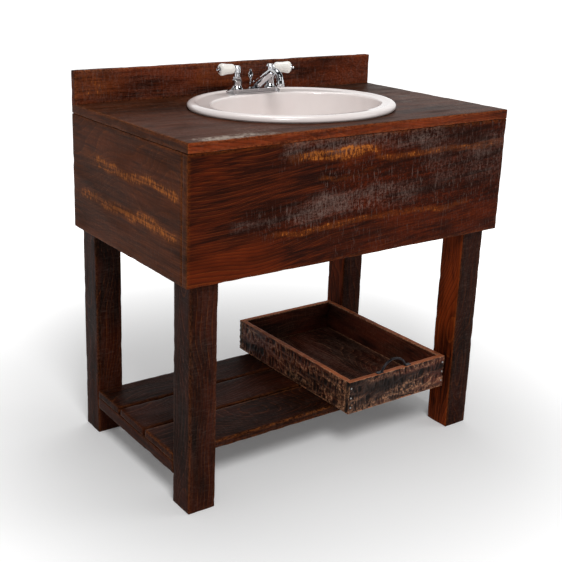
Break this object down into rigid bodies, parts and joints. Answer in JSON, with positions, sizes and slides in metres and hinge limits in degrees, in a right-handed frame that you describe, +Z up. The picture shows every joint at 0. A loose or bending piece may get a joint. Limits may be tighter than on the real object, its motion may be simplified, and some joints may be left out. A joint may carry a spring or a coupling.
{
  "type": "drop-in sink on vanity",
  "caption": "Rustic wooden washstand with a drop-in oval china sink, centerset faucet with porcelain levers, pop-up drain, open slatted shelf and pull-out tray.",
  "frame": {"origin": "floor level, centre of the counter's footprint", "axes": "+X to the right seen from the front, +Y towards the wall, +Z up; the front faces -Y"},
  "size_m": [0.914, 0.542, 0.939],
  "materials": {
    "top_wood": "satin, worn reclaimed boards",
    "apron_wood": "satin, rough-sawn and distressed",
    "leg_wood": "satin, rough-sawn",
    "slat_wood": "dull, dark",
    "frame_wood": "dull, dark",
    "tray_wood": "hewn and waxed",
    "china": "glossy glaze",
    "porcelain": "glossy glaze",
    "chrome_plate": "polished",
    "plain_brass": "machined",
    "screw_steel": "plain",
    "black_iron": "forged, waxed",
    "black_rubber": "matt",
    "sealant": "satin"
  },
  "bodies": {
    "cabinet": {"counter_top": "top_wood", "backsplash": "top_wood", "front_apron": "apron_wood", "left_apron": "apron_wood", "right_apron": "apron_wood", "back_rail": "frame_wood", "front_left_leg": "leg_wood", "front_right_leg": "leg_wood", "back_left_leg": "leg_wood", "back_right_leg": "leg_wood", "left_shelf_rail": "frame_wood", "right_shelf_rail": "frame_wood", "front_slat": "slat_wood", "middle_slat": "slat_wood", "back_slat": "slat_wood", "top_cleats": "frame_wood", "top_screws": "screw_steel", "leg_screws": "screw_steel", "shelf_screws": "screw_steel", "sink_basin": "china", "sealant_bead": "sealant", "drain_flange": "chrome_plate", "drain_gasket": "black_rubber", "drain_nut": "plain_brass", "drain_body": "chrome_plate", "tailpiece": "chrome_plate", "pivot_nut": "chrome_plate", "faucet_body": "chrome_plate", "spout": "chrome_plate", "aerator": "chrome_plate", "supply_shanks": "plain_brass", "shank_nuts": "plain_brass", "hot_valve": "chrome_plate", "cold_valve": "chrome_plate"},
    "hot_handle": {"hot_stem": "plain_brass", "hot_hub": "chrome_plate", "hot_lever": "porcelain", "hot_lever_cap": "chrome_plate"},
    "cold_handle": {"cold_stem": "plain_brass", "cold_hub": "chrome_plate", "cold_lever": "porcelain", "cold_lever_cap": "chrome_plate"},
    "lift_linkage": {"lift_rod": "chrome_plate", "lift_knob": "chrome_plate", "clevis_strap": "chrome_plate", "clevis_screw": "screw_steel"},
    "pivot_arm": {"pivot_rod": "chrome_plate"},
    "stopper": {"popup_stopper": "chrome_plate"},
    "tray": {"tray_front": "tray_wood", "tray_back": "tray_wood", "tray_left": "tray_wood", "tray_right": "tray_wood", "tray_bottom": "tray_wood", "tray_handle": "black_iron", "tray_handle_screws": "black_iron", "tray_nails": "screw_steel"}
  },
  "joints": [
    {"name": "hot_turn", "type": "hinge", "parent": "cabinet", "child": "hot_handle", "pos_m": [-0.051, 0.168, 0.924], "axis": [0, 0, 1], "range_deg": [0, 90]},
    {"name": "cold_turn", "type": "hinge", "parent": "cabinet", "child": "cold_handle", "pos_m": [0.051, 0.168, 0.924], "axis": [0, 0, 1], "range_deg": [-53, 37]},
    {"name": "lift_slide", "type": "slide", "parent": "cabinet", "child": "lift_linkage", "axis": [0, 0, 1], "range_m": [0, 0.032]},
    {"name": "pivot_turn", "type": "hinge", "parent": "cabinet", "child": "pivot_arm", "pos_m": [0, 0.041, 0.643], "axis": [1, 0, 0], "range_deg": [0, 13.6]},
    {"name": "stopper_slide", "type": "slide", "parent": "cabinet", "child": "stopper", "axis": [0, 0, 1], "range_m": [-0.0062, 0]},
    {"name": "tray_slide", "type": "slide", "parent": "cabinet", "child": "tray", "axis": [0, -1, 0], "range_m": [0, 0.17]}
  ],
  "couplings": [
    {"joint": "pivot_turn", "follows": "lift_slide", "rad_per_m": 7.373},
    {"joint": "stopper_slide", "follows": "lift_slide", "ratio": -0.19259}
  ]
}
